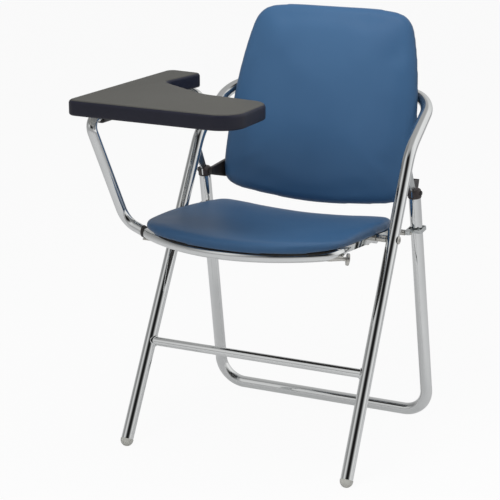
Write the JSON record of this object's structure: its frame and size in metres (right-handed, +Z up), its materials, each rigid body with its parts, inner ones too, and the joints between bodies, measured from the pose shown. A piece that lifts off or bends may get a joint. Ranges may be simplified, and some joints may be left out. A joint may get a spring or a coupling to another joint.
{
  "type": "folding conference chair with a writing tablet",
  "caption": "Folding conference chair: chrome tube frames, padded blue vinyl seat and back, and a flip-up writing tablet on a tube arm that lifts as the seat folds.",
  "frame": {"origin": "middle of the whole chair's footprint box, on the floor", "axes": "+Z up; -Y is the way the sitter looks; +X is the sitter's left; the tablet is on the sitter's right, at -X"},
  "size_m": [0.5354, 0.4838, 0.7693],
  "materials": {
    "chrome_tube": "bright chrome plate",
    "zinc_fastener": "zinc plate",
    "black_plastic": "satin moulded",
    "grey_foot_plastic": "matt moulded",
    "blue_vinyl": "smooth vinyl, fine grain",
    "plywood_board": "plain",
    "tablet_edging": "satin moulded",
    "tablet_laminate": "matt laminate",
    "rubber": "matt"
  },
  "bodies": {
    "front_frame": {"front_frame_tube": "chrome_tube", "foot_cap_left_hand": "grey_foot_plastic", "foot_cap_right_hand": "grey_foot_plastic", "front_rung": "chrome_tube", "gusset_left_hand": "chrome_tube", "gusset_right_hand": "chrome_tube", "rear_leg_pin_left_hand": "zinc_fastener", "rear_leg_pin_right_hand": "zinc_fastener", "back_bracket_left_hand": "black_plastic", "back_bracket_right_hand": "black_plastic", "back_clip_left_hand": "black_plastic", "back_clip_right_hand": "black_plastic", "back_board": "black_plastic", "back_cushion": "blue_vinyl", "back_screw_1": "zinc_fastener", "back_screw_2": "zinc_fastener", "back_screw_3": "zinc_fastener", "back_screw_4": "zinc_fastener", "back_screw_5": "zinc_fastener", "back_screw_6": "zinc_fastener", "seat_pivot_bolt_left_hand": "zinc_fastener", "seat_pivot_bolt_right_hand": "zinc_fastener", "arm_pivot_bolt": "zinc_fastener"},
    "rear_frame": {"rear_frame_tube": "chrome_tube", "rear_cap_left_hand": "black_plastic", "rear_cap_right_hand": "black_plastic"},
    "seat": {"seat_rail_left_hand": "chrome_tube", "seat_rail_right_hand": "chrome_tube", "seat_front_bar": "chrome_tube", "front_bar_end_ring": "zinc_fastener", "seat_cross_rail": "chrome_tube", "seat_board": "plywood_board", "seat_cushion": "blue_vinyl", "seat_screw_1": "zinc_fastener", "seat_screw_2": "zinc_fastener", "seat_screw_3": "zinc_fastener", "seat_screw_4": "zinc_fastener", "seat_spacer_left_hand": "zinc_fastener", "seat_spacer_right_hand": "zinc_fastener", "guide_bolt_left_hand": "zinc_fastener", "guide_bolt_right_hand": "zinc_fastener", "arm_cradle": "zinc_fastener"},
    "guide_left": {"leg_guide_left_hand": "zinc_fastener"},
    "guide_right": {"leg_guide_right_hand": "zinc_fastener"},
    "tablet_arm": {"tablet_arm_tube": "chrome_tube", "arm_foot_tip": "black_plastic", "tablet_support_stub": "chrome_tube", "support_bumper": "rubber", "arm_pivot_washer": "black_plastic"},
    "tablet": {"tablet_board": "tablet_edging", "tablet_top": "tablet_laminate", "hinge_clip_front": "black_plastic", "hinge_clip_rear": "black_plastic", "tablet_screw_1": "zinc_fastener", "tablet_screw_2": "zinc_fastener", "tablet_screw_3": "zinc_fastener", "tablet_screw_4": "zinc_fastener"}
  },
  "joints": [
    {"name": "seat_fold", "type": "hinge", "parent": "front_frame", "child": "seat", "pos_m": [0.03425, 0.00965, 0.393], "axis": [-1, 0, 0], "range_deg": [0, 90]},
    {"name": "rear_leg_swing", "type": "hinge", "parent": "front_frame", "child": "rear_frame", "pos_m": [0.03425, 0.10729, 0.458], "axis": [-1, 0, 0], "range_deg": [0, 38]},
    {"name": "guide_left_turn", "type": "hinge", "parent": "seat", "child": "guide_left", "pos_m": [0.03425, 0.09677, 0.384], "axis": [-1, 0, 0], "range_deg": [-53, 0]},
    {"name": "guide_right_turn", "type": "hinge", "parent": "seat", "child": "guide_right", "pos_m": [0.03425, 0.09677, 0.384], "axis": [-1, 0, 0], "range_deg": [-53, 0]},
    {"name": "arm_lift", "type": "hinge", "parent": "front_frame", "child": "tablet_arm", "pos_m": [-0.20105, 0.13127, 0.56665], "axis": [-1, 0, 0], "range_deg": [0, 72.5]},
    {"name": "tablet_flip", "type": "hinge", "parent": "tablet_arm", "child": "tablet", "pos_m": [-0.25175, -0.00673, 0.601], "axis": [0, -1, 0], "range_deg": [0, 95]}
  ],
  "couplings": [
    {"joint": "rear_leg_swing", "follows": "seat_fold", "ratio": 0.4196},
    {"joint": "guide_left_turn", "follows": "seat_fold", "ratio": -0.5804},
    {"joint": "guide_right_turn", "follows": "seat_fold", "ratio": -0.5804},
    {"joint": "arm_lift", "follows": "seat_fold", "ratio": 0.8}
  ]
}
